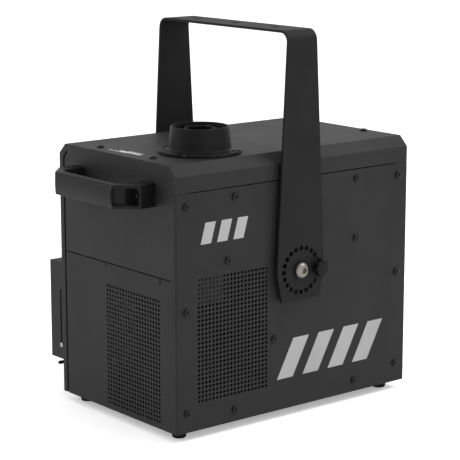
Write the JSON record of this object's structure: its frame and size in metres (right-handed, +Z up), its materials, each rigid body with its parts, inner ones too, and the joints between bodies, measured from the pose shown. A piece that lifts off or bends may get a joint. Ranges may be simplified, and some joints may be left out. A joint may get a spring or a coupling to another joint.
{
  "type": "fog machine",
  "caption": "Upright stage fog machine: black sheet-steel casing with folding yoke, tapered fog outlet on top, perforated grilles, carrying handles and a side fluid tank.",
  "frame": {"origin": "centre of the whole object's box on the floor, under the rubber feet", "axes": "+Z up; +X towards the wide side with the side grille and the right lock knob; -Y towards the front with the front grille"},
  "size_m": [0.332, 0.513, 0.5248],
  "materials": {
    "black_steel": "fine-textured matt black powder coat on sheet steel",
    "zinc_steel": "zinc-plated or galvanised sheet steel",
    "black_plastic": "moulded black nylon, lightly grained",
    "black_screws": "blackened steel machine screws",
    "pivot_steel": "bright zinc-plated steel bolt",
    "rubber": "matt black rubber",
    "natural_plastic": "translucent natural polyethylene",
    "brass": "turned brass",
    "grey_print": null,
    "cast_aluminium": "cast aluminium block",
    "thermostat_grey": "grey phenolic",
    "board_green": "green circuit board",
    "button_grey": "grey rubberised plastic",
    "rocker_red": "red translucent plastic rocker"
  },
  "bodies": {
    "casing": {"chassis_base": "black_steel", "inner_frame": "zinc_steel", "side_front_shell": "black_steel", "left_side_panel": "black_steel", "top_cover": "black_steel", "rear_panel": "black_steel", "front_handle": "black_plastic", "rear_handle": "black_plastic", "handle_screws": "black_screws", "case_screws": "black_screws", "outlet_spigot": "black_plastic", "outlet_guard": "black_plastic", "outlet_screws": "black_screws", "rubber_feet": "rubber", "foot_screws": "zinc_steel", "pivot_plates": "zinc_steel", "pivot_bushes": "black_plastic", "pivot_washers": "black_plastic", "pivot_bolts": "pivot_steel", "tank_box": "black_steel", "fluid_tank": "natural_plastic", "filler_neck": "black_plastic", "sight_pin": "zinc_steel", "drain_valve": "brass", "side_badge": "grey_print", "side_stripes": "grey_print", "top_label": "grey_print", "relay_box": "zinc_steel", "fan_housing": "black_plastic", "fog_duct": "zinc_steel", "heater_block": "cast_aluminium", "heater_cover": "zinc_steel", "heater_rails": "zinc_steel", "thermostat": "thermostat_grey", "nozzle_pipe": "brass", "pump_body": "black_plastic", "suction_hose": "natural_plastic", "feed_pipe": "brass", "control_board": "board_green", "power_supply": "zinc_steel", "display_module": "black_plastic", "menu_buttons_frame": "black_plastic", "power_switch": "black_plastic", "power_inlet": "black_plastic", "signal_sockets": "black_plastic", "fuse_holder": "black_plastic"},
    "yoke": {"yoke": "black_steel"},
    "right_knob": {"right_lock_knob": "black_plastic", "right_lock_stud": "zinc_steel"},
    "left_knob": {"left_lock_knob": "black_plastic", "left_lock_stud": "zinc_steel"},
    "cap": {"filler_cap": "black_plastic"},
    "tap": {"drain_tap": "black_plastic"},
    "impeller": {"fan_impeller": "black_plastic"},
    "plunger": {"pump_plunger": "zinc_steel"},
    "button_1": {"menu_button_1": "button_grey"},
    "button_2": {"menu_button_2": "button_grey"},
    "button_3": {"menu_button_3": "button_grey"},
    "button_4": {"menu_button_4": "button_grey"},
    "rocker": {"switch_rocker": "rocker_red"}
  },
  "joints": [
    {"name": "yoke_tilt", "type": "hinge", "parent": "casing", "child": "yoke", "pos_m": [0.014, 0, 0.2042], "axis": [1, 0, 0], "range_deg": [-90, 54]},
    {"name": "right_knob_pull", "type": "slide", "parent": "yoke", "child": "right_knob", "axis": [1, 0, 0], "range_m": [0, 0.012]},
    {"name": "left_knob_pull", "type": "slide", "parent": "yoke", "child": "left_knob", "axis": [-1, 0, 0], "range_m": [0, 0.012]},
    {"name": "cap_turn", "type": "hinge", "parent": "casing", "child": "cap", "pos_m": [-0.142, -0.118, 0.1905], "axis": [0, 0, 1], "range_deg": [0, 90]},
    {"name": "drain_turn", "type": "hinge", "parent": "casing", "child": "tap", "pos_m": [-0.15, -0.171, 0.0455], "axis": [0, 0, 1], "range_deg": [0, 90]},
    {"name": "fan_spin", "type": "hinge", "parent": "casing", "child": "impeller", "pos_m": [0.071, -0.107, 0.1175], "axis": [0, 0, 1], "continuous": true},
    {"name": "pump_stroke", "type": "slide", "parent": "casing", "child": "plunger", "axis": [0, 0, 1], "range_m": [0, 0.003], "stiffness_N_per_m": 900},
    {"name": "button_1_press", "type": "slide", "parent": "casing", "child": "button_1", "axis": [0, -1, 0], "range_m": [0, 0.0015], "stiffness_N_per_m": 1200, "springref_m": -0.0003},
    {"name": "button_2_press", "type": "slide", "parent": "casing", "child": "button_2", "axis": [0, -1, 0], "range_m": [0, 0.0015], "stiffness_N_per_m": 1200, "springref_m": -0.0003},
    {"name": "button_3_press", "type": "slide", "parent": "casing", "child": "button_3", "axis": [0, -1, 0], "range_m": [0, 0.0015], "stiffness_N_per_m": 1200, "springref_m": -0.0003},
    {"name": "button_4_press", "type": "slide", "parent": "casing", "child": "button_4", "axis": [0, -1, 0], "range_m": [0, 0.0015], "stiffness_N_per_m": 1200, "springref_m": -0.0003},
    {"name": "power_rocker", "type": "hinge", "parent": "casing", "child": "rocker", "pos_m": [0.076, 0.2015, 0.1125], "axis": [1, 0, 0], "range_deg": [0, 18]}
  ]
}
